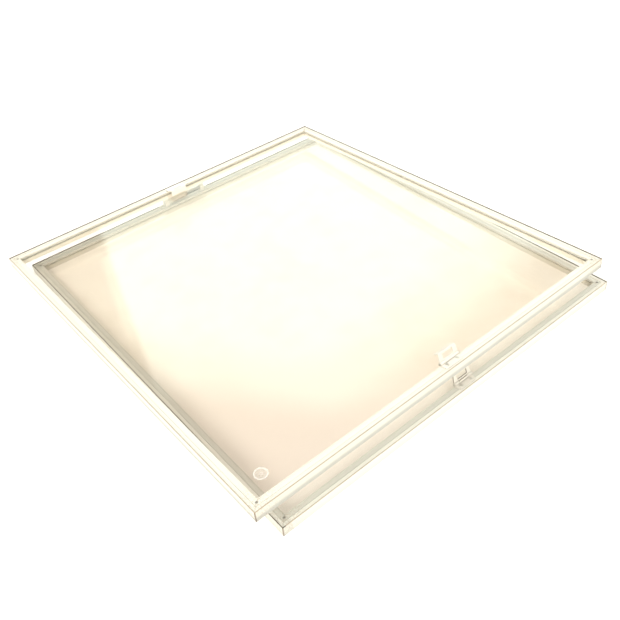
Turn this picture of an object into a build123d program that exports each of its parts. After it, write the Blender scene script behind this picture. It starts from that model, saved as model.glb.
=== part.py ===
"""A pair of glazed aluminium cold-frame lights, hinged one above the other.

Each light is a pane held in four mitred bars. The upper light turns about a rod under
its back bar, and slides along that rod. Millimetres, +Z up, +Y to the hinged back side.
The origin is the middle of the pair's footprint, on the ground.
"""

from build123d import *
import os

# ---- driving dimensions -------------------------------------------------------------
LIGHT_X = 600.0             # front and back bars, corner to corner
LIGHT_Y = 644.0             # left and right bars, corner to corner
FRAME_H = 14.5              # height of a bar
BAR_W = 13.0                # width of a bar, seen from above
OFFSET_X = 29.0             # how far the upper light stands to the left of the lower one
TILT = 2.3                  # angle between the two lights

CHAMBER_W = 5.6             # hollow outer part of a bar
WALL = 1.4                  # wall of the hollow part
SHELF_T = 1.2               # shelf under the pane, and the leg below it
ARRIS = 0.3                 # rounding of the outer corners
LINE_IN = 0.5               # fine groove along the outer edge: distance in, width, depth
LINE_W = 0.6
LINE_DEPTH = 0.5

GLASS_T = 4.0               # toughened pane
GLASS_GAP = 2.9             # from the hollow part to the pane's edge
GASKET_TOP = 1.5            # strip above the pane
GASKET_BED = 1.0            # strip below the pane
GASKET_BACK = 0.3           # strips start this far in from the pane's edge
GASKET_SHY = 0.2            # strips stop this far short of the bar's inner face

BEAD_T = 2.0                # clip-in bead above the pane
BEAD_LEG = 1.8              # its leg, against the hollow part
BEAD_LEG_DEPTH = 4.6        # bottom of the leg, below the frame's top
BEAD_JOINT = 0.6            # open joint between the hollow part and the bead
BEAD_JOINT_DEPTH = 1.0
BEAD_FALL = 0.5             # the bead's face slopes down by this, towards the pane
BEAD_LIP = 1.0              # width of the raised lip at the pane
BEAD_DROP = 0.25            # the bead's face starts this far below the frame's top
LIP_DROP = 0.1
HOOK = 0.4                  # hook on the leg, in a slot in the hollow part
HOOK_H = 0.8
FIT = 0.1                   # clearance round fixed pieces

CORNER_HOLE = 10.2          # drain hole in the bead's mitre: distance from both sides
CORNER_HOLE_R = 0.9
KEY_LEG = 30.0              # corner key inside the hollow parts
KEY_SCREW_IN = 9.4          # screw in the side bars' outer face, from the corner
KEY_SCREW_DROP = 3.6        # and down from the frame's top
KEY_SCREW_R = 1.0
KEY_SCREW_HEAD_R = 1.8
KEY_SCREW_HEAD_T = 0.8
PACKER_LEN = 30.0           # packers that centre the pane
PACKER_END = 90.0           # from the corner to a packer's middle
PACKER_T = 3.7

PULL_SHIFT = 3.0            # a pull's middle, to the right of its bar's middle
PULL_EDGE = 3.4             # foot plate: from the bar's outer face
PULL_PIN_IN = 13.5          # hinge pin: from the bar's outer face
PULL_PIN_UP = 2.6           # hinge pin: above the frame's top
PULL_W = 28.0               # width at the foot's outer edge and at the ring's end
PULL_MID_W = 31.5           # width at the pin
PULL_T = 1.2                # sheet thickness
PULL_PIN_R = 1.1
PULL_PIN_HEAD_R = 1.8
PULL_PIN_HEAD_T = 0.7
KNUCKLE_R = 2.2
KNUCKLE_MID = 15.4          # length of the ring's own knuckle
KNUCKLE_GAP = 0.3
PULL_RUN = 13.4             # the ring's plate, folded down: along and up from the pin
PULL_RISE = 3.9
RING_RAISED = 52.0          # the two front rings stand up this far from folded down
PULL_REST = 0.35            # the lip's end above the pane
PULL_START = 2.8            # full width starts here, clear of the foot's knuckles
WINDOW_W = 18.0             # finger window in the ring
WINDOW_START = 4.4
WINDOW_END = 11.4
WINDOW_R = 1.2
RIVET_IN = 8.2              # rivets through the foot and the bead
RIVET_SPREAD = 9.0
RIVET_R = 1.2
RIVET_HEAD_R = 2.2
RIVET_HEAD_T = 0.8
RUNNING = 0.05              # radial clearance of a turning fit
STATIC = 0.02               # radial clearance of a fixed pin or screw

HINGE_GAP = 16.0            # between the two frames when they are parallel
HINGE_IN = 5.5              # rod: from the bars' outer faces
ROD_FLAT = 5.0              # six-sided rod, across flats
SLEEVE_R = 3.9              # sleeve on the rod, which the upper light turns on
BARREL_R = 5.2              # barrel of the upper leaf
BARREL_LEN = 34.0
SLEEVE_END = 0.2            # the sleeve stands this far out of each end of the barrel
SLIDE_CLEAR = 0.3           # sleeve to block, at both ends of the travel
LEAF_T = 2.0
LEAF_LEN = 60.0
LEAF_NECK = 7.0
LEAF_SCREW_SPREAD = 24.0
BLOCK_LEN = 8.0             # block that holds the rod
BLOCK_R = 4.6
BLOCK_FOOT = 9.0            # length of its foot, and thickness
BLOCK_FOOT_T = 1.6
SCREW_R = 1.2               # hinge screws
SCREW_HEAD_R = 2.2
SCREW_HEAD_T = 1.1

# ---- sizes that follow --------------------------------------------------------------
GLASS_EDGE = CHAMBER_W + GLASS_GAP
GLASS_TOP = FRAME_H - BEAD_T - GASKET_TOP
GLASS_BOTTOM = GLASS_TOP - GLASS_T
SHELF_TOP = GLASS_BOTTOM - GASKET_BED
SHELF_UNDER = SHELF_TOP - SHELF_T
PULL_ANGLE = Vector(1, 0, 0).get_angle(Vector(PULL_RUN, PULL_RISE, 0))
PULL_LEN = Vector(PULL_RUN, PULL_RISE, 0).length
PIN_Z = FRAME_H + PULL_PIN_UP
LIP_LEN = PIN_Z + PULL_RISE - GLASS_TOP - PULL_REST
SCREW_IN = CHAMBER_W / 2

LOWER_PLACE = Pos((OFFSET_X - LIGHT_X) / 2, -LIGHT_Y / 2, 0)
ROD_Y = LIGHT_Y / 2 - HINGE_IN
ROD_Z = FRAME_H + HINGE_GAP / 2
UPPER_PLACE = (Pos(-(OFFSET_X + LIGHT_X) / 2, ROD_Y, ROD_Z) * Rot(-TILT, 0, 0)
               * Pos(0, HINGE_IN - LIGHT_Y, HINGE_GAP / 2))
BARREL_X = -OFFSET_X / 2    # middle of the barrel, under the middle of the upper light

# A side's place turns a piece drawn along +X, with +Y towards the pane, onto that side.
SIDES = {
    "front": (Pos(0, 0, 0), LIGHT_X),
    "right": (Pos(LIGHT_X, 0, 0) * Rot(0, 0, 90), LIGHT_Y),
    "back": (Pos(LIGHT_X, LIGHT_Y, 0) * Rot(0, 0, 180), LIGHT_X),
    "left": (Pos(0, LIGHT_Y, 0) * Rot(0, 0, 270), LIGHT_Y),
}


# ---- small helpers ------------------------------------------------------------------
def run_along_x(section, length, start=0.0):
    """Extrude a section, drawn as (inwards, up), along a bar."""
    return Pos(start, 0, 0) * extrude(Plane.YZ * section, amount=length)


def span(x, y, z):
    """A box between two limits on each axis."""
    size = (x[1] - x[0], y[1] - y[0], z[1] - z[0])
    middle = ((x[0] + x[1]) / 2, (y[0] + y[1]) / 2, (z[0] + z[1]) / 2)
    return Pos(*middle) * Box(*size)


def rod_x(radius, start, end, y=0.0, z=0.0):
    """A round rod along X."""
    return Pos((start + end) / 2, y, z) * Rot(0, 90, 0) * Cylinder(radius, end - start)


def rod_z(radius, x, y, bottom, top):
    """A round rod along Z."""
    return Pos(x, y, (bottom + top) / 2) * Cylinder(radius, top - bottom)


def mitred(piece, length):
    """Cut both ends of a bar at 45 degrees."""
    reach = BAR_W + 1
    outline = Polygon((0, 0), (length, 0), (length - reach, reach), (reach, reach), align=None)
    return piece & extrude(outline, amount=2 * FRAME_H)


def pulls_on(light, side):
    """The lower light has one pull, at the front. The upper light has one at the back too."""
    return side == "front" or (side == "back" and light == "upper")


# ---- frame --------------------------------------------------------------------------
def bar_section():
    """Hollow outer part with a shelf for the pane and a leg under the shelf."""
    outline = Polygon(
        (0, 0), (CHAMBER_W, 0), (CHAMBER_W, SHELF_UNDER), (BAR_W - SHELF_T, SHELF_UNDER),
        (BAR_W - SHELF_T, 0), (BAR_W, 0), (BAR_W, SHELF_TOP), (CHAMBER_W, SHELF_TOP),
        (CHAMBER_W, FRAME_H), (0, FRAME_H), align=None)
    outline = fillet(outline.vertices().filter_by(lambda v: v.X < FIT), radius=ARRIS)
    chamber = Pos(CHAMBER_W / 2, FRAME_H / 2) * Rectangle(CHAMBER_W - 2 * WALL, FRAME_H - 2 * WALL)
    line = Pos(LINE_IN + LINE_W / 2, FRAME_H) * Rectangle(LINE_W, 2 * LINE_DEPTH)
    slot_z = FRAME_H - BEAD_LEG_DEPTH + HOOK_H / 2
    slot = Pos(CHAMBER_W, slot_z) * Rectangle(2 * (HOOK + FIT), HOOK_H + 2 * FIT)
    return outline - chamber - line - slot


def bead_section():
    """Bead with a sloping face, a lip at the pane, and a hooked leg."""
    top = FRAME_H - BEAD_DROP
    outer = CHAMBER_W + BEAD_JOINT
    leg = CHAMBER_W + BEAD_LEG
    foot = FRAME_H - BEAD_LEG_DEPTH
    lip = BAR_W - BEAD_LIP
    return Polygon(
        (outer, top), (outer, FRAME_H - BEAD_JOINT_DEPTH), (CHAMBER_W, FRAME_H - BEAD_JOINT_DEPTH),
        (CHAMBER_W, foot + HOOK_H), (CHAMBER_W - HOOK, foot + HOOK_H), (CHAMBER_W - HOOK, foot),
        (leg, foot), (leg, FRAME_H - BEAD_T), (BAR_W, FRAME_H - BEAD_T),
        (BAR_W, FRAME_H - LIP_DROP), (lip, FRAME_H - LIP_DROP), (lip, top - BEAD_FALL), align=None)


def bar(length, side, light):
    """One mitred bar, with holes for the corner screws and the hinge screws."""
    piece = mitred(run_along_x(bar_section(), length), length)
    if side in ("left", "right"):
        for x in (KEY_SCREW_IN, length - KEY_SCREW_IN):
            piece -= Pos(x, 0, 0) * key_screw(STATIC)
    if side == "back" and light == "upper":
        for x in (length / 2 - LEAF_SCREW_SPREAD, length / 2 + LEAF_SCREW_SPREAD):
            piece -= rod_z(SCREW_R + STATIC, x, SCREW_IN, -1, 2 * WALL)
    if side == "back" and light == "lower":
        for x in block_screws():
            along = length - (x - LOWER_PLACE.position.X)
            piece -= rod_z(SCREW_R + STATIC, along, SCREW_IN, FRAME_H - 2 * WALL, FRAME_H + 1)
    return piece


def bead(length, side, light):
    """One mitred bead, with a drain hole at each mitre and holes for a pull's rivets."""
    piece = mitred(run_along_x(bead_section(), length), length)
    for x in (CORNER_HOLE, length - CORNER_HOLE):
        piece -= rod_z(CORNER_HOLE_R, x, CORNER_HOLE, FRAME_H - BEAD_T - 1, FRAME_H + 1)
    if pulls_on(light, side):
        middle = length / 2 + PULL_SHIFT
        for x in (middle - RIVET_SPREAD, middle + RIVET_SPREAD):
            piece -= rod_z(RIVET_R + STATIC, x, RIVET_IN, FRAME_H - BEAD_T - 1, FRAME_H + 1)
    return piece


def gasket(length, bottom, top):
    """One mitred strip above or below the pane."""
    start = GLASS_EDGE + GASKET_BACK
    end = BAR_W - GASKET_SHY
    return mitred(span((0, length), (start, end), (bottom, top)), length)


def pane():
    """The toughened pane, with ground edges."""
    sheet = span((GLASS_EDGE, LIGHT_X - GLASS_EDGE), (GLASS_EDGE, LIGHT_Y - GLASS_EDGE),
                 (GLASS_BOTTOM, GLASS_TOP))
    return chamfer(sheet.edges().filter_by(Axis.Z), length=1.5)


def packers(length):
    """Two packers between the hollow part and the pane's edge."""
    top = min(SHELF_TOP + PACKER_T, FRAME_H - BEAD_LEG_DEPTH - FIT)
    half = PACKER_LEN / 2
    return [span((x - half, x + half), (CHAMBER_W, GLASS_EDGE), (SHELF_TOP, top))
            for x in (PACKER_END, length - PACKER_END)]


def key_screw(extra=0.0):
    """Countersunk screw through a side bar's outer face, pointing inwards (+Y)."""
    z = FRAME_H - KEY_SCREW_DROP
    head = Pos(0, KEY_SCREW_HEAD_T / 2, z) * Rot(-90, 0, 0) * Cone(
        KEY_SCREW_HEAD_R + extra, KEY_SCREW_R + extra, KEY_SCREW_HEAD_T)
    end = CHAMBER_W - WALL - FIT
    shank = Pos(0, end / 2, z) * Rot(-90, 0, 0) * Cylinder(KEY_SCREW_R + extra, end)
    return head + shank


def drive_slot(width, depth):
    """Cross for a screw driver, cut down from z = 0."""
    arm = Box(2 * width, width / 2, 2 * depth)
    return arm + Rot(0, 0, 90) * arm


def side_screws():
    """The four corner screws of one light."""
    screws = []
    for side in ("left", "right"):
        place, length = SIDES[side]
        for x in (KEY_SCREW_IN, length - KEY_SCREW_IN):
            cross = Pos(x, 0, FRAME_H - KEY_SCREW_DROP) * Rot(90, 0, 0) * drive_slot(1.0, 0.4)
            screws.append(place * (Pos(x, 0, 0) * key_screw() - cross))
    return screws


def corner_keys():
    """An angle in each corner joins the hollow parts of two bars."""
    inner = WALL + FIT
    outer = CHAMBER_W - WALL - FIT
    height = (WALL + FIT, FRAME_H - WALL - FIT)
    angle = span((inner, KEY_LEG), (inner, outer), height)
    angle += span((inner, outer), (inner, KEY_LEG), height)
    screw_hole = Pos(0, KEY_SCREW_IN, FRAME_H - KEY_SCREW_DROP) * Rot(0, 90, 0) * Cylinder(
        KEY_SCREW_R + STATIC, 4 * CHAMBER_W)
    plain = angle - screw_hole
    mirrored = plain.mirror(Plane.YZ)
    keys = [plain, Pos(LIGHT_X, 0, 0) * mirrored]
    back = [Pos(0, LIGHT_Y, 0) * key.mirror(Plane.XZ) for key in keys]
    return keys + back


# ---- pulls, drawn on a bar whose middle is at x = 0 ------------------------------------
def flared(start, end, start_w, end_w, thickness):
    """A flat sheet that widens or narrows from start to end along +Y, on z = 0."""
    outline = Polygon((-start_w / 2, start), (start_w / 2, start), (end_w / 2, end),
                      (-end_w / 2, end), align=None)
    return extrude(outline, amount=thickness)


def pull_foot():
    """Foot plate with two knuckles for the pin."""
    plate_end = PULL_PIN_IN - KNUCKLE_R - KNUCKLE_GAP
    plate = Pos(0, 0, FRAME_H) * flared(PULL_EDGE, PULL_PIN_IN, PULL_W, PULL_MID_W, PULL_T)
    half = KNUCKLE_MID / 2 + KNUCKLE_GAP
    plate -= span((-half, half), (plate_end, PULL_PIN_IN + 1), (FRAME_H - 1, FRAME_H + 2 * PULL_T))
    for sign in (-1, 1):
        ends = sorted((sign * half, sign * PULL_MID_W / 2))
        plate += rod_x(KNUCKLE_R, *ends, PULL_PIN_IN, PIN_Z)
    plate -= rod_x(PULL_PIN_R + STATIC, -PULL_MID_W, PULL_MID_W, PULL_PIN_IN, PIN_Z)
    for x in (-RIVET_SPREAD, RIVET_SPREAD):
        plate -= rod_z(RIVET_R + STATIC, x, RIVET_IN, FRAME_H - 1, FRAME_H + 2 * PULL_T)
    return plate


def pull_pin():
    """Pin with a head at both ends."""
    half = PULL_MID_W / 2 + FIT
    pin = rod_x(PULL_PIN_R, -half, half, PULL_PIN_IN, PIN_Z)
    for ends in ((-half - PULL_PIN_HEAD_T, -half), (half, half + PULL_PIN_HEAD_T)):
        pin += rod_x(PULL_PIN_HEAD_R, *ends, PULL_PIN_IN, PIN_Z)
    return pin


def pull_rivets():
    """Two rivets through the foot plate and the bead."""
    rivets = []
    for x in (-RIVET_SPREAD, RIVET_SPREAD):
        shank = rod_z(RIVET_R, x, RIVET_IN, FRAME_H - BEAD_T, FRAME_H + PULL_T)
        head = rod_z(RIVET_HEAD_R, x, RIVET_IN, FRAME_H + PULL_T, FRAME_H + PULL_T + RIVET_HEAD_T)
        head = fillet(head.edges().group_by(Axis.Z)[-1], radius=RIVET_HEAD_T * 0.7)
        rivets.append(shank + head)
    return rivets


def pull_ring(raised):
    """Plate with a finger window and a lip, which rests above the pane when folded down."""
    mid = -PULL_T / 2
    plate = Pos(0, 0, mid) * flared(PULL_START, PULL_LEN, PULL_MID_W, PULL_W, PULL_T)
    plate += span((-KNUCKLE_MID / 2, KNUCKLE_MID / 2), (0, PULL_START + 1), (mid, -mid))
    opening = RectangleRounded(WINDOW_W, WINDOW_END - WINDOW_START, WINDOW_R)
    plate -= Pos(0, (WINDOW_START + WINDOW_END) / 2, -PULL_T) * extrude(opening, amount=2 * PULL_T)
    plate = Rot(PULL_ANGLE, 0, 0) * plate
    top = PULL_RISE + PULL_T / 2
    plate += span((-PULL_W / 2, PULL_W / 2), (PULL_RUN - PULL_T, PULL_RUN), (top - LIP_LEN, top))
    plate += rod_x(KNUCKLE_R, -KNUCKLE_MID / 2, KNUCKLE_MID / 2)
    plate -= rod_x(PULL_PIN_R + RUNNING, -PULL_W, PULL_W)
    return Pos(0, PULL_PIN_IN, PIN_Z) * Rot(raised, 0, 0) * plate


# ---- hinge, placed in the row's own frame ------------------------------------------------
def block_ends():
    """The inner faces of the two blocks that hold the rod."""
    reach = BARREL_LEN / 2 + SLEEVE_END + SLIDE_CLEAR
    return BARREL_X - reach, BARREL_X + reach + OFFSET_X


def block_screws():
    """The screws' places along X, one in each block's foot."""
    left, right = block_ends()
    out = BLOCK_LEN + BLOCK_FOOT / 2
    return left - out, right + out


def hex_rod(flat, start, end):
    """A six-sided rod along X, at the hinge axis."""
    section = RegularPolygon(flat / 2, 6, major_radius=False)
    return Pos(start, ROD_Y, ROD_Z) * extrude(Plane.YZ * section, amount=end - start)


def hinge_rod():
    """Rod between the outer faces of the two blocks."""
    left, right = block_ends()
    return hex_rod(ROD_FLAT, left - BLOCK_LEN, right + BLOCK_LEN)


def hinge_block(inner, out):
    """Upright round the rod, with a foot that points away from the barrel."""
    outer = inner + out * BLOCK_LEN
    toe = outer + out * BLOCK_FOOT
    bottom = FRAME_H
    sides = (ROD_Y - BLOCK_R, ROD_Y + BLOCK_R)
    block = span(sorted((inner, outer)), sides, (bottom, ROD_Z))
    block += rod_x(BLOCK_R, *sorted((inner, outer)), ROD_Y, ROD_Z)
    block += span(sorted((inner, toe)), sides, (bottom, bottom + BLOCK_FOOT_T))
    block -= hex_rod(ROD_FLAT + 2 * STATIC, min(inner, outer) - 1, max(inner, outer) + 1)
    middle = (outer + toe) / 2
    return block - rod_z(SCREW_R + STATIC, middle, screw_y(), bottom - 1, bottom + 3 * BLOCK_FOOT_T)


def screw_y():
    """The hinge screws enter the middle of the hollow part of the back bar."""
    return LIGHT_Y / 2 - SCREW_IN


def hinge_block_screws():
    """One pan-head screw down through each block's foot."""
    screws = []
    for x in block_screws():
        seat = FRAME_H + BLOCK_FOOT_T
        shank = rod_z(SCREW_R, x, screw_y(), FRAME_H - WALL - 2, seat)
        head = rod_z(SCREW_HEAD_R, x, screw_y(), seat, seat + SCREW_HEAD_T)
        head = fillet(head.edges().group_by(Axis.Z)[-1], radius=SCREW_HEAD_T * 0.5)
        cross = Pos(x, screw_y(), seat + SCREW_HEAD_T) * drive_slot(1.2, 0.5)
        screws.append(shank + head - cross)
    return screws


def hinge_sleeve():
    """Round sleeve that slides along the rod and can't turn on it."""
    half = BARREL_LEN / 2 + SLEEVE_END
    sleeve = rod_x(SLEEVE_R, BARREL_X - half, BARREL_X + half, ROD_Y, ROD_Z)
    return sleeve - hex_rod(ROD_FLAT + 2 * RUNNING, BARREL_X - half - 1, BARREL_X + half + 1)


def leaf_screw(x, extra=0.0):
    """Countersunk screw up through the leaf, in the upper light's own frame."""
    head = Pos(x, LIGHT_Y - SCREW_IN, -LEAF_T + SCREW_HEAD_T / 2) * Cone(
        SCREW_HEAD_R + extra, SCREW_R + extra, SCREW_HEAD_T)
    return head + rod_z(SCREW_R + extra, x, LIGHT_Y - SCREW_IN, -LEAF_T, WALL + 2)


def leaf_screw_places():
    """Along X, in the upper light's own frame."""
    return LIGHT_X / 2 - LEAF_SCREW_SPREAD, LIGHT_X / 2 + LEAF_SCREW_SPREAD


def hinge_leaf():
    """Plate under the upper back bar, with the barrel that turns on the sleeve."""
    middle = LIGHT_X / 2
    y = LIGHT_Y - HINGE_IN
    z = -HINGE_GAP / 2
    ends = (middle - BARREL_LEN / 2, middle + BARREL_LEN / 2)
    leaf = span((middle - LEAF_LEN / 2, middle + LEAF_LEN / 2), (LIGHT_Y - BAR_W, LIGHT_Y),
                (-LEAF_T, 0))
    leaf += span(ends, (y - LEAF_NECK / 2, y + LEAF_NECK / 2), (z, -LEAF_T / 2))
    leaf += rod_x(BARREL_R, *ends, y, z)
    leaf -= rod_x(SLEEVE_R + RUNNING, ends[0] - 1, ends[1] + 1, y, z)
    for x in leaf_screw_places():
        leaf -= leaf_screw(x, STATIC)
    return leaf


def hinge_leaf_screws():
    """The leaf's two screws."""
    cross = drive_slot(1.2, 0.5)
    return [leaf_screw(x) - Pos(x, LIGHT_Y - SCREW_IN, -LEAF_T) * cross
            for x in leaf_screw_places()]


# ---- assembly -----------------------------------------------------------------------
def save(name, *solids):
    """Write one node, as a single solid or as a group of separate solids."""
    shape = solids[0] if len(solids) == 1 else Compound(children=list(solids))
    export_step(shape, f"parts/{name}.step")


def save_light(light, place):
    """Frame, pane and seals of one light."""
    for side, (at, length) in SIDES.items():
        save(f"{light}_{side}_bar", place * at * bar(length, side, light))
        save(f"{light}_{side}_bead", place * at * bead(length, side, light))
    save(f"{light}_glass", place * pane())
    for name, bottom, top in (("top_gasket", GLASS_TOP, GLASS_TOP + GASKET_TOP),
                              ("bed_gasket", SHELF_TOP, GLASS_BOTTOM)):
        strips = [place * at * gasket(length, bottom, top) for at, length in SIDES.values()]
        save(f"{light}_{name}", *strips)
    save(f"{light}_glass_packers",
         *[place * at * block for at, length in SIDES.values() for block in packers(length)])
    save(f"{light}_corner_keys", *[place * key for key in corner_keys()])
    save(f"{light}_corner_screws", *[place * screw for screw in side_screws()])


def save_pull(name, light_place, side, raised):
    """Foot, pin, ring and rivets of one pull, near the middle of a side."""
    at, length = SIDES[side]
    place = light_place * at * Pos(length / 2 + PULL_SHIFT, 0, 0)
    save(f"{name}_foot", place * pull_foot())
    save(f"{name}_pin", place * pull_pin())
    save(f"{name}_ring", place * pull_ring(raised))
    save(f"{name}_rivets", *[place * rivet for rivet in pull_rivets()])


def save_hinge():
    """Blocks and rod on the lower light, sleeve on the rod, leaf under the upper light."""
    left, right = block_ends()
    save("hinge_block_left", hinge_block(left, -1))
    save("hinge_block_right", hinge_block(right, 1))
    save("hinge_block_screws", *hinge_block_screws())
    save("hinge_rod", hinge_rod())
    save("hinge_sleeve", hinge_sleeve())
    save("hinge_leaf", UPPER_PLACE * hinge_leaf())
    save("hinge_leaf_screws", *[UPPER_PLACE * screw for screw in hinge_leaf_screws()])


os.makedirs("parts", exist_ok=True)
save_light("lower", LOWER_PLACE)
save_light("upper", UPPER_PLACE)
save_pull("lower_pull", LOWER_PLACE, "front", RING_RAISED)
save_pull("upper_front_pull", UPPER_PLACE, "front", RING_RAISED)
save_pull("upper_back_pull", UPPER_PLACE, "back", 0)
save_hinge()
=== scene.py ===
"""Looks for a hinged pair of cold-frame lights: finishes, small trims, studio and camera."""
from math import cos, radians, sin, tau

import bmesh
import bpy
from mathutils import Matrix, Quaternion, Vector


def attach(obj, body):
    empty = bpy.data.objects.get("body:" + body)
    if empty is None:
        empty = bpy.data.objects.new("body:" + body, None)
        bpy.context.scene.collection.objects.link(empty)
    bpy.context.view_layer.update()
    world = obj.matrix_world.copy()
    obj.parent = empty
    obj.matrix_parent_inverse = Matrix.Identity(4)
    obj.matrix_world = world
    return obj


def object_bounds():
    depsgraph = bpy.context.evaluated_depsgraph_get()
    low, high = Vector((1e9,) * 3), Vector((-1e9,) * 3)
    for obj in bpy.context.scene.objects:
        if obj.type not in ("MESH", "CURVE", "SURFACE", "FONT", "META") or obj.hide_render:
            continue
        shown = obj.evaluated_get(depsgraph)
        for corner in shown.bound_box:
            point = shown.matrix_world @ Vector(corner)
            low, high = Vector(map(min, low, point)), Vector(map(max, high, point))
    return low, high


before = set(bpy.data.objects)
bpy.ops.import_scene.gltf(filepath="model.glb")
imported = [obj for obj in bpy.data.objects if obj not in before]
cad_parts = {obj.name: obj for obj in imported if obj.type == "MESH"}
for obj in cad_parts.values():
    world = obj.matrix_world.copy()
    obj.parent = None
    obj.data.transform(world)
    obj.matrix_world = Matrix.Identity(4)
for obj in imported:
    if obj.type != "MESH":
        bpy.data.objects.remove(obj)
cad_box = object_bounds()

MM = 0.001
SIDES = ("front", "right", "back", "left")
X_AXIS = Vector((1, 0, 0))

# ---- trims, in millimetres ----------------------------------------------------------
LINE_IN = 0.5               # edge cord's groove: from the bar's outer face, width and depth
LINE_W = 0.6
LINE_DEPTH = 0.5
LINE_SHY = 0.02             # room on each side, in its groove
LINE_PROUD = 1.25           # the cord's head: above the bar, past the groove's outer side, width
LINE_LAP = 0.25
LINE_HEAD = 0.6

HOLE_IN = 10.2              # drain hole at each mitre, from both outer faces

MARK_PLACE = (36.6, 38.6)   # etched mark: from the light's front left corner
MARK_R = 8.6
MARK_T = 0.04
MARK_GAP = 0.005            # between the mark and the pane
MARK_DASHES = 12

RING_LEAN = radians(68.2)   # slope of the raised front rings

# ---- camera -------------------------------------------------------------------------
VIEW_AIM = Vector((-50.5, -90.8, 38.0)) * MM
VIEW_AZIMUTH = radians(37.09)
VIEW_ELEVATION = radians(40.84)
VIEW_ROLL = radians(-4.62)
VIEW_DISTANCE = 1016.7 * MM
LENS = 42.65
SENSOR = 36.0

# ---- studio -------------------------------------------------------------------------
FLOOR_R = 6.0
DOME = (0.50, 0.485, 0.43)
OVERHEAD = (1.75, 1.73, 1.68)
OVERHEAD_FROM = radians(54)
OVERHEAD_FULL = radians(68)
PANEL = (1.30, 1.50, 1.38)
# Edges of the panel behind the object: the way each faces, how far it leans back, blur.
PANEL_EDGES = ((107.6, 89.0, 0.006), (58.0, 47.3, 0.03), (-6.0, 54.3, 0.035))
# Soft lamps: the way to each and its height in degrees, how far it spreads, colour. The
# last takes light away, as a dark card does.
LAMPS = (
    (-90.0, 52.0, 13.0, (13.5, 13.3, 12.9)),
    (-140.0, 24.0, 58.0, (1.72, 1.68, 1.62)),
    (17.0, 40.0, 17.0, (-0.36, -0.36, -0.33)),
)


# ---- shader helpers -----------------------------------------------------------------
def node(tree, kind, inputs=None, **settings):
    """A new node with its settings, and its inputs set to a value or linked to a socket."""
    made = tree.nodes.new(kind)
    for key, value in settings.items():
        setattr(made, key, value)
    for key, value in (inputs or {}).items():
        if isinstance(value, bpy.types.NodeSocket):
            tree.links.new(value, made.inputs[key])
        else:
            made.inputs[key].default_value = value
    return made


def maths(tree, operation, first, second=0.0):
    return node(tree, "ShaderNodeMath", {0: first, 1: second}, operation=operation).outputs[0]


def times(tree, first, second):
    return maths(tree, "MULTIPLY", first, second)


def length_of(tree, vector):
    return node(tree, "ShaderNodeVectorMath", {0: vector}, operation="LENGTH").outputs["Value"]


def ramp(tree, value, start, end, low=0.0, high=1.0):
    """Low up to start, high from end on, and a smooth step between."""
    values = {"Value": value, "From Min": start, "From Max": end, "To Min": low, "To Max": high}
    made = node(tree, "ShaderNodeMapRange", values, interpolation_type="SMOOTHSTEP")
    return made.outputs["Result"]


def spread(tree, value, low, high):
    """A value from 0 to 1, carried over to low to high."""
    values = {"Value": value, "To Min": low, "To Max": high}
    return node(tree, "ShaderNodeMapRange", values).outputs["Result"]


def blend(tree, share, first, second):
    """First colour to second colour."""
    made = node(tree, "ShaderNodeMix", {0: share, 6: first, 7: second}, data_type="RGBA")
    return made.outputs[2]


def noise(tree, coords, size, detail=2.0, roughness=0.5):
    """Noise from 0 to 1 whose lumps are about size millimetres across."""
    values = {"Vector": coords, "Scale": 1 / (size * MM), "Detail": detail, "Roughness": roughness}
    return node(tree, "ShaderNodeTexNoise", values).outputs["Fac"]


def bump(tree, height, depth, strength=1.0, normal=None):
    """Bumps depth millimetres high."""
    values = {"Height": height, "Distance": depth * MM, "Strength": strength}
    if normal:
        values["Normal"] = normal
    return node(tree, "ShaderNodeBump", values).outputs["Normal"]


def rgb(colour, alpha=1.0):
    return (*colour, alpha)


def new_material(name):
    """A material with its node tree and its one Principled shader."""
    made = bpy.data.materials.new(name)
    made.use_nodes = True
    return made, made.node_tree, made.node_tree.nodes["Principled BSDF"]


def drive(tree, shader, **sockets):
    """Link or set the shader's inputs, named with _ for a space."""
    for name, value in sockets.items():
        socket = shader.inputs[name.replace("_", " ")]
        if isinstance(value, bpy.types.NodeSocket):
            tree.links.new(value, socket)
        else:
            socket.default_value = value


# ---- where each light stands --------------------------------------------------------
def light_place(light):
    """The light's own frame, and its size: X along its front bar, Z out of its glass."""
    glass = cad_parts[f"{light}_glass"].data
    facing_up = [face for face in glass.polygons if face.normal.z > 0.9]
    up = max(facing_up, key=lambda face: face.area).normal.copy()
    turn = Matrix((X_AXIS, up.cross(X_AXIS), up))
    bars = [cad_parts[f"{light}_{side}_bar"].data for side in SIDES]
    points = [turn @ vertex.co for bar in bars for vertex in bar.vertices]
    low = Vector([min(point[i] for point in points) for i in range(3)])
    high = Vector([max(point[i] for point in points) for i in range(3)])
    back = turn.transposed().to_4x4()
    return back @ Matrix.Translation(low), high - low


PLACES = {light: light_place(light) for light in ("lower", "upper")}


def light_coords(tree, light):
    """Coordinates in the light's own frame, in metres."""
    place = PLACES[light][0]
    turned = place.to_euler()
    values = {
        "Vector": node(tree, "ShaderNodeTexCoord").outputs["Object"],
        "Location": place.to_translation(),
        "Rotation": turned,
    }
    return node(tree, "ShaderNodeMapping", values, vector_type="TEXTURE").outputs[0]


def from_edge(tree, along, length):
    """Distance to the nearer end of a length."""
    return maths(tree, "MINIMUM", along, maths(tree, "SUBTRACT", length, along))


def edge_distances(tree, coords, light):
    """Distances to the nearer outer face across the light and along it, in metres."""
    size = PLACES[light][1]
    parts = node(tree, "ShaderNodeSeparateXYZ", {0: coords}).outputs
    return from_edge(tree, parts["X"], size.x), from_edge(tree, parts["Y"], size.y)


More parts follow.
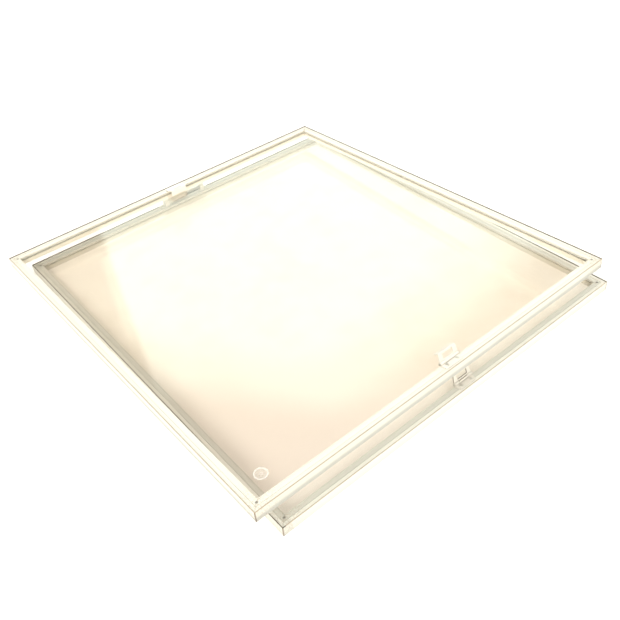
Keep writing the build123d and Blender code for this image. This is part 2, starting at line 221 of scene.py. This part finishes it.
def corner_fields(tree, coords, light):
    """How far a point is from the mitre's plane, and from the nearest corner, in metres."""
    across, along_side = edge_distances(tree, coords, light)
    apart = maths(tree, "ABSOLUTE", maths(tree, "SUBTRACT", across, along_side))
    return apart, maths(tree, "MAXIMUM", across, along_side)


def depth_inwards(tree, coords, light):
    """Distance in from the nearest outer face, in metres."""
    return maths(tree, "MINIMUM", *edge_distances(tree, coords, light))


# ---- finishes -----------------------------------------------------------------------
def painted_side_shade(tree, coords, light, outside, inside):
    """Painted light and shade on the upright faces: outer faces darker towards the foot, inner
    faces scaled by their own factor; level faces stay as they are.
    """
    height = node(tree, "ShaderNodeSeparateXYZ", {0: coords}).outputs["Z"]
    foot = ramp(tree, height, 3 * MM, 9.5 * MM, outside, 1.0)
    inner = ramp(tree, depth_inwards(tree, coords, light), 6 * MM, 7 * MM)
    upright = node(tree, "ShaderNodeMix", {0: inner, 2: foot, 3: inside}).outputs[0]
    normal = node(tree, "ShaderNodeTexCoord").outputs["Normal"]
    rise = maths(tree, "ABSOLUTE", node(tree, "ShaderNodeSeparateXYZ", {0: normal}).outputs["Z"])
    level = ramp(tree, rise, 0.3, 0.6)
    return node(tree, "ShaderNodeMix", {0: level, 2: upright, 3: 1.0}).outputs[0]


def hole_shade(tree, coords, light):
    """1 on the painted shade in and round the drain hole at each mitre."""
    across, along_side = edge_distances(tree, coords, light)
    offset = {
        0: maths(tree, "SUBTRACT", across, HOLE_IN * MM),
        1: maths(tree, "SUBTRACT", along_side, HOLE_IN * MM),
    }
    reach = length_of(tree, node(tree, "ShaderNodeCombineXYZ", offset).outputs[0])
    return ramp(tree, reach, 2.4 * MM, 1.2 * MM)


def left_side(tree, coords, width):
    """1 along the light's left bar, out to a width in millimetres: the mask of the painted shadow
    there.
    """
    reach = node(tree, "ShaderNodeSeparateXYZ", {0: coords}).outputs["X"]
    return ramp(tree, reach, (width + 1) * MM, width * MM)


def coated_bar(name, light, pale, warm, outside, inside, left_shadow_share=0.0):
    """Pale aluminium: faint yellowing, specks and dark joints at the corners, painted shade round
    each drain hole, painted light and shade on the upright faces, and a painted shadow on the left
    bar.
    """
    made, tree, shader = new_material(name)
    coords = light_coords(tree, light)
    mitre, corner = corner_fields(tree, coords, light)
    cloud = noise(tree, coords, 70, 3)
    fleck = noise(tree, coords, 1.6, 2, 0.6)
    peel = noise(tree, coords, 1.1, 1)
    near_corner = ramp(tree, corner, 55 * MM, 8 * MM)
    # Specks, joints and seams are the bar's own; the last two marks are painted shade at the drain
    # holes and a painted shadow on the left bar.
    marks = (
        (times(tree, near_corner, ramp(tree, fleck, 0.50, 0.62)), 0.6, SPECK),
        (ramp(tree, mitre, 0.6 * MM, 0.2 * MM), 0.35, JOINT_GRIME),
        (ramp(tree, corner, 1.6 * MM, 0.6 * MM), 0.85, SEAM_GRIME),
        (hole_shade(tree, coords, light), 0.7, HOLE_SHADE),
        (left_side(tree, coords, LEFT_SHADOW_W), left_shadow_share, LEFT_BAR_SHADOW),
    )
    colour = blend(tree, cloud, rgb(pale), rgb(warm))
    for share, strength, tint in marks:
        colour = blend(tree, times(tree, share, strength), colour, rgb(tint))
    # The upright faces' colour is scaled by painted shade and painted light.
    shade = {0: colour, "Scale": painted_side_shade(tree, coords, light, outside, inside)}
    drive(
        tree, shader,
        Base_Color=node(tree, "ShaderNodeVectorMath", shade, operation="SCALE").outputs[0],
        Roughness=spread(tree, cloud, 0.34, 0.46),
        Normal=bump(tree, peel, 0.012),
    )
    shader.inputs["Specular IOR Level"].default_value = 0.5
    return made


def lets_light_through(tree, shader, tint):
    """Lamp light and bounced light pass the pane straight; everything else sees glass."""
    path = node(tree, "ShaderNodeLightPath").outputs
    clear = node(tree, "ShaderNodeBsdfTransparent", {"Color": rgb(tint)})
    either = maths(tree, "MAXIMUM", path["Is Shadow Ray"], path["Is Diffuse Ray"])
    shaders = {0: either, 1: shader.outputs[0], 2: clear.outputs[0]}
    mixed = node(tree, "ShaderNodeMixShader", shaders)
    tree.links.new(mixed.outputs[0], tree.nodes["Material Output"].inputs["Surface"])


def glass(name, light, clean, dull, passes):
    """Toughened float glass: warm tint, roller wave, smears, and painted shade towards one corner.
    """
    made, tree, shader = new_material(name)
    coords = light_coords(tree, light)
    wave = noise(tree, coords, 160, 1)
    smear = noise(tree, coords, 55, 4, 0.62)
    colour = blend(tree, ramp(tree, smear, 0.42, 0.72), rgb(clean), rgb(dull))
    corner_shade = ramp(tree, length_of(tree, coords), CORNER_SHADE_FADES * MM, CORNER_SHADE_FULL * MM)
    colour = blend(tree, corner_shade, colour, rgb(CORNER_SHADE_TINT))
    drive(
        tree, shader, Base_Color=colour,
        Roughness=ramp(tree, smear, 0.60, 0.85, 0.0, 0.015),
        Normal=bump(tree, wave, 0.05),
    )
    shader.inputs["IOR"].default_value = 1.5
    shader.inputs["Transmission Weight"].default_value = 1.0
    lets_light_through(tree, shader, passes)
    return made


def plain_coords(tree):
    return node(tree, "ShaderNodeTexCoord").outputs["Object"]


def rubber(name, dark, worn, fine):
    """Extruded seal: chalky, with fine drag lines."""
    made, tree, shader = new_material(name)
    coords = plain_coords(tree)
    chalk = noise(tree, coords, 9, 4, 0.6)
    grain = noise(tree, coords, fine, 2)
    drive(
        tree, shader, Base_Color=blend(tree, chalk, rgb(dark), rgb(worn)),
        Roughness=spread(tree, chalk, 0.62, 0.84), Normal=bump(tree, grain, 0.03),
    )
    return made


def moulded(name, colour, second, size=12.0):
    """Moulded nylon or paint: soft colour change and a fine texture."""
    made, tree, shader = new_material(name)
    coords = plain_coords(tree)
    cloud = noise(tree, coords, size, 3)
    grain = noise(tree, coords, 0.7, 2)
    drive(
        tree, shader, Base_Color=blend(tree, cloud, rgb(colour), rgb(second)),
        Roughness=spread(tree, cloud, 0.36, 0.52), Normal=bump(tree, grain, 0.01),
    )
    return made


def dark_edged(name, colour, second, edge, lean):
    """Painted plate, with painted shade on its edge faces. lean is the plate's slope as built."""
    made, tree, shader = new_material(name)
    cloud = noise(tree, plain_coords(tree), 8, 3)
    normal = node(tree, "ShaderNodeTexCoord").outputs["Normal"]
    plate = along(tree, normal, (0, -sin(lean), cos(lean)))
    flat = ramp(tree, maths(tree, "ABSOLUTE", plate), 0.55, 0.75)
    painted = blend(tree, cloud, rgb(colour), rgb(second))
    drive(
        tree, shader, Base_Color=blend(tree, flat, rgb(edge), painted),
        Roughness=spread(tree, cloud, 0.36, 0.52),
    )
    return made


def steel(name, colour, second, rough):
    """Bare steel with fine turning marks and dull patches."""
    made, tree, shader = new_material(name)
    coords = plain_coords(tree)
    patch = noise(tree, coords, 5, 4, 0.65)
    turned = noise(tree, coords, 0.35, 1)
    drive(
        tree, shader, Base_Color=blend(tree, patch, rgb(colour), rgb(second)),
        Roughness=spread(tree, patch, rough, rough + 0.2), Normal=bump(tree, turned, 0.006),
    )
    shader.inputs["Metallic"].default_value = 1.0
    return made


def etched(name):
    """Frosted, acid-etched glass."""
    made, tree, shader = new_material(name)
    frost = noise(tree, plain_coords(tree), 0.9, 3)
    drive(
        tree, shader,
        Base_Color=blend(tree, frost, rgb((0.93, 0.91, 0.86)), rgb((0.99, 0.98, 0.95))),
        Roughness=spread(tree, frost, 0.5, 0.7), Normal=bump(tree, frost, 0.02),
        Alpha=spread(tree, frost, 0.10, 0.30),
    )
    return made


PALE, WARM = (0.74, 0.725, 0.65), (0.70, 0.68, 0.60)
# Lower bars painted lighter than the upper bars, lower beads darker: painted light and painted
# shade on the same aluminium.
LOW_LIT_PALE, LOW_LIT_WARM = (0.82, 0.81, 0.73), (0.78, 0.765, 0.69)
SHADED_BEAD_PALE, SHADED_BEAD_WARM = (0.65, 0.64, 0.57), (0.60, 0.59, 0.53)
SPECK = (0.46, 0.34, 0.25)
JOINT_GRIME = (0.20, 0.16, 0.10)
SEAM_GRIME = (0.16, 0.09, 0.04)
# Painted shade in and round the drain holes.
HOLE_SHADE = (0.15, 0.13, 0.11)
# Painted shadow on the lower light's left bar, under the upper light's left bar: colour, width and
# share.
LEFT_BAR_SHADOW = (0.30, 0.27, 0.215)
LEFT_SHADOW_W = 13.0              # across the lower light's left bar, in millimetres
LEFT_SHADOW_SHARE = 0.22
CLEAN, DULL = (0.980, 0.945, 0.905), (0.955, 0.915, 0.865)
# Painted shade in the glass towards the front left corner.
CORNER_SHADE_TINT = (0.945, 0.90, 0.88)
CORNER_SHADE_FULL, CORNER_SHADE_FADES = 90, 360     # from the front left corner, in millimetres
PASSES = (0.955, 0.94, 0.915)


def finishes():
    """Each finish by the part's own slot, and the glass's by its light."""
    return {
        "gasket": rubber("seal_rubber", (0.58, 0.56, 0.49), (0.70, 0.68, 0.60), 0.8),
        "packer": moulded("packer_nylon", (0.40, 0.42, 0.38), (0.48, 0.49, 0.44)),
        "key": steel("key_cast", (0.62, 0.61, 0.58), (0.50, 0.49, 0.46), 0.45),
        "fixing": steel("zinc_plate", (0.78, 0.77, 0.72), (0.62, 0.60, 0.54), 0.28),
        "turned_steel": steel("turned_steel", (0.66, 0.65, 0.62), (0.52, 0.50, 0.47), 0.22),
        "hinge": moulded("hinge_paint", (0.74, 0.73, 0.66), (0.68, 0.66, 0.58)),
        "pull": moulded("pull_paint", (0.74, 0.72, 0.655), (0.68, 0.63, 0.56), 8.0),
        "glass_upper": glass("glass_top", "upper", CLEAN, DULL, PASSES),
        "glass_lower": glass("glass_base", "lower", CLEAN, DULL, PASSES),
    }


def dress_nodes():
    """Give every CAD node its finish."""
    by_slot = finishes()
    bars = {
        # After the colours: painted shade on the outer faces towards the foot, then painted light
        # or shade on the inner faces.
        "upper": coated_bar("coat_top", "upper", PALE, WARM, 0.66, 1.28),
        "lower": coated_bar("coat_base", "lower", LOW_LIT_PALE, LOW_LIT_WARM, 0.92, 0.85, LEFT_SHADOW_SHARE),
    }
    beads = {
        "upper": coated_bar("bead_top", "upper", PALE, WARM, 1.0, 1.0),
        "lower": coated_bar("bead_base_shaded", "lower", SHADED_BEAD_PALE, SHADED_BEAD_WARM, 1.0, 1.0, LEFT_SHADOW_SHARE),
    }
    own_finish = {
        # The lower pull ring's edge faces carry painted shade.
        "lower_pull_ring": dark_edged(
            "pull_shaded_edges", (0.80, 0.77, 0.69), (0.74, 0.69, 0.61), (0.10, 0.055, 0.02), RING_LEAN),
        # The upper back pull's ring and foot: the pull paint made lighter, as painted light.
        "upper_back_pull_ring": moulded("pull_painted_light", (0.93, 0.92, 0.88), (0.89, 0.88, 0.83), 8.0),
        "upper_back_pull_foot": moulded("foot_painted_light", (0.92, 0.91, 0.87), (0.88, 0.87, 0.82), 8.0),
    }
    for name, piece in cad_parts.items():
        for place in piece.material_slots:
            slot = place.material.name
            light = name.split("_")[0]
            own = {"frame": bars, "bead": beads}.get(slot)
            place.material = own[light] if own else own_finish.get(name, by_slot[slot])


# ---- trims --------------------------------------------------------------------------
def new_piece(name, mesh, light, material):
    """A mesh drawn in the light's own frame, in millimetres, put in place on its body."""
    made = bpy.data.meshes.new(name)
    mesh.to_mesh(made)
    mesh.free()
    made.transform(PLACES[light][0] @ Matrix.Scale(MM, 4))
    made.materials.append(material)
    piece = bpy.data.objects.new(name, made)
    bpy.context.scene.collection.objects.link(piece)
    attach(piece, f"{light}_light")
    return piece


def bridge(mesh, rings, closed=True):
    """Quads between each ring of vertices and the next."""
    count = len(rings[0])
    pairs = list(zip(rings, rings[1:] + rings[:1])) if closed else list(zip(rings, rings[1:]))
    for ring, after in pairs:
        for i in range(count):
            j = (i + 1) % count
            mesh.faces.new((ring[i], ring[j], after[j], after[i]))


def edge_line(light, material):
    """A sealing cord pressed into the groove along the outer edge, mitred at the corners."""
    size = PLACES[light][1] / MM
    start = LINE_IN + LINE_SHY
    width = LINE_W - 2 * LINE_SHY
    seat = size.z + LINE_SHY
    shoulder = size.z - LINE_SHY
    top = size.z + LINE_PROUD
    foot = size.z - LINE_DEPTH + LINE_SHY
    inner = LINE_HEAD - LINE_LAP
    section = [
        (0, foot), (0, seat), (-LINE_LAP, seat), (-LINE_LAP, top - LINE_LAP), (0, top),
        (inner * 0.5, top), (inner, top - LINE_LAP), (inner, shoulder),
        (width, shoulder), (width, foot),
    ]
    corners = [(0, 0, 1, 1), (1, 0, -1, 1), (1, 1, -1, -1), (0, 1, 1, -1)]
    mesh = bmesh.new()
    rings = []
    for far_x, far_y, way_x, way_y in corners:
        ring = []
        for inwards, up in section:
            reach = start + inwards
            spot = (far_x * size.x + way_x * reach, far_y * size.y + way_y * reach, up)
            ring.append(mesh.verts.new(spot))
        rings.append(ring)
    bridge(mesh, rings)
    bmesh.ops.recalc_face_normals(mesh, faces=mesh.faces)
    return new_piece(f"{light}_edge_line", mesh, light, material)


def glass_top(light):
    """Height of the pane's top face in the light's own frame, in millimetres."""
    place = PLACES[light][0].inverted()
    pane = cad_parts[f"{light}_glass"].data
    return max((place @ vertex.co).z for vertex in pane.vertices) / MM


def ring_band(mesh, inner, outer, low, high, start=0.0, sweep=tau, steps=72):
    """A flat band round the origin, or part of one."""
    whole = sweep >= tau
    count = steps if whole else steps + 1
    rings = []
    for i in range(count):
        turn = start + sweep * i / steps
        way = Vector((cos(turn), sin(turn), 0))
        spots = ((inner, low), (outer, low), (outer, high), (inner, high))
        rings.append([
            mesh.verts.new(way * reach + Vector((0, 0, level))) for reach, level in spots
        ])
    bridge(mesh, rings, closed=whole)
    if not whole:
        mesh.faces.new(rings[0])
        mesh.faces.new(rings[-1])


def safety_mark(material):
    """A round etched mark with no lettering: a rim, a ring of dashes and a small ring."""
    mesh = bmesh.new()
    ring_band(mesh, MARK_R * 0.72, MARK_R, MARK_GAP, MARK_T)
    pitch = tau / MARK_DASHES
    for i in range(MARK_DASHES):
        ring_band(
            mesh, MARK_R * 0.46, MARK_R * 0.62, MARK_GAP, MARK_T, pitch * i, pitch * 0.6, 6,
        )
    ring_band(mesh, MARK_R * 0.12, MARK_R * 0.28, MARK_GAP, MARK_T, steps=36)
    bmesh.ops.recalc_face_normals(mesh, faces=mesh.faces)
    place = Vector((*MARK_PLACE, glass_top("upper")))
    bmesh.ops.translate(mesh, verts=mesh.verts, vec=place)
    return new_piece("upper_etched_mark", mesh, "upper", material)


def cord(name, light):
    """A tan cord, with painted shade along its head's inner side, and a painted shadow on the
    lower light's left.
    """
    made, tree, shader = new_material(name)
    coords = light_coords(tree, light)
    side = (LINE_IN + LINE_SHY + LINE_HEAD - LINE_LAP) * MM
    # Painted shade on the inner side of the cord's head.
    inner = ramp(tree, depth_inwards(tree, coords, light), side - 0.12 * MM, side - 0.02 * MM)
    # Painted shadow on the lower light's left bar.
    if light == "lower":
        left = times(tree, left_side(tree, coords, 4.0), 0.9)
        inner = maths(tree, "MAXIMUM", inner, left)
    chalk = noise(tree, coords, 9, 4, 0.6)
    clean = blend(tree, chalk, rgb((0.36, 0.28, 0.19)), rgb((0.48, 0.40, 0.29)))
    drive(
        tree, shader, Base_Color=blend(tree, inner, clean, rgb((0.03, 0.018, 0.01))),
        Roughness=spread(tree, chalk, 0.6, 0.8), Normal=bump(tree, noise(tree, coords, 0.6), 0.03),
    )
    return made


def add_trims():
    for light in PLACES:
        edge_line(light, cord(f"{light}_cord", light))
    safety_mark(etched("etched_glass"))


# ---- studio -------------------------------------------------------------------------
def facing(azimuth, elevation=0.0):
    """A unit vector: azimuth towards +X from +Y."""
    return Vector((cos(elevation) * sin(azimuth), cos(elevation) * cos(azimuth), sin(elevation)))


def along(tree, way, direction):
    values = {0: way, 1: direction}
    return node(tree, "ShaderNodeVectorMath", values, operation="DOT_PRODUCT").outputs["Value"]


def panel_share(tree, way):
    """1 where the sky is the panel, with each edge a plane through the object."""
    share = None
    for azimuth, lean, blur in PANEL_EDGES:
        inside = facing(radians(azimuth), radians(lean - 90))
        edge = ramp(tree, along(tree, way, inside), -blur, blur)
        share = maths(tree, "MULTIPLY", share, edge) if share else edge
    return share


def lay(tree, share, under, over):
    """Add a share of one colour to another."""
    values = {0: share, 6: under, 7: rgb(over)}
    return node(tree, "ShaderNodeMix", values, data_type="RGBA", blend_type="ADD").outputs[2]


def studio_sky():
    """A soft dome, brighter overhead, with a panel behind, two soft lamps and a dark card."""
    world = bpy.data.worlds.new("studio")
    bpy.context.scene.world = world
    world.use_nodes = True
    tree = world.node_tree
    way = node(tree, "ShaderNodeTexCoord").outputs["Generated"]
    height = node(tree, "ShaderNodeSeparateXYZ", {0: way}).outputs["Z"]
    overhead = ramp(tree, height, sin(OVERHEAD_FROM), sin(OVERHEAD_FULL))
    colour = lay(tree, overhead, rgb(DOME), OVERHEAD)
    colour = lay(tree, panel_share(tree, way), colour, PANEL)
    for azimuth, elevation, reach, lamp in LAMPS:
        near = along(tree, way, facing(radians(azimuth), radians(elevation)))
        share = ramp(tree, near, cos(radians(reach)), cos(radians(reach * 0.4)))
        colour = lay(tree, share, colour, lamp)
    tree.links.new(colour, tree.nodes["Background"].inputs["Color"])


def floor():
    """A wide pale disc that the object stands on."""
    mesh = bmesh.new()
    bmesh.ops.create_circle(mesh, cap_ends=True, segments=96, radius=FLOOR_R)
    made = bpy.data.meshes.new("studio_floor")
    mesh.to_mesh(made)
    mesh.free()
    material, tree, shader = new_material("floor_paper")
    cloud = noise(tree, plain_coords(tree), 400, 2)
    drive(
        tree, shader,
        Base_Color=blend(tree, cloud, rgb((0.90, 0.90, 0.885)), rgb((0.92, 0.92, 0.905))),
        Roughness=0.9,
    )
    shader.inputs["Specular IOR Level"].default_value = 0.0
    made.materials.append(material)
    piece = bpy.data.objects.new("studio_floor", made)
    piece.location.z = cad_box[0][2]
    bpy.context.scene.collection.objects.link(piece)


def camera():
    """A camera that looks down on the front left corner, rolled a little."""
    data = bpy.data.cameras.new("view")
    data.lens = LENS
    data.sensor_width = SENSOR
    piece = bpy.data.objects.new("view", data)
    forward = facing(VIEW_AZIMUTH, -VIEW_ELEVATION)
    level = forward.to_track_quat("-Z", "Y")
    turn = level @ Quaternion((0, 0, 1), VIEW_ROLL)
    piece.matrix_world = Matrix.LocRotScale(VIEW_AIM - forward * VIEW_DISTANCE, turn, None)
    bpy.context.scene.collection.objects.link(piece)
    bpy.context.scene.camera = piece


dress_nodes()
add_trims()
studio_sky()
floor()
camera()
bpy.context.scene.view_settings.view_transform = "Standard"
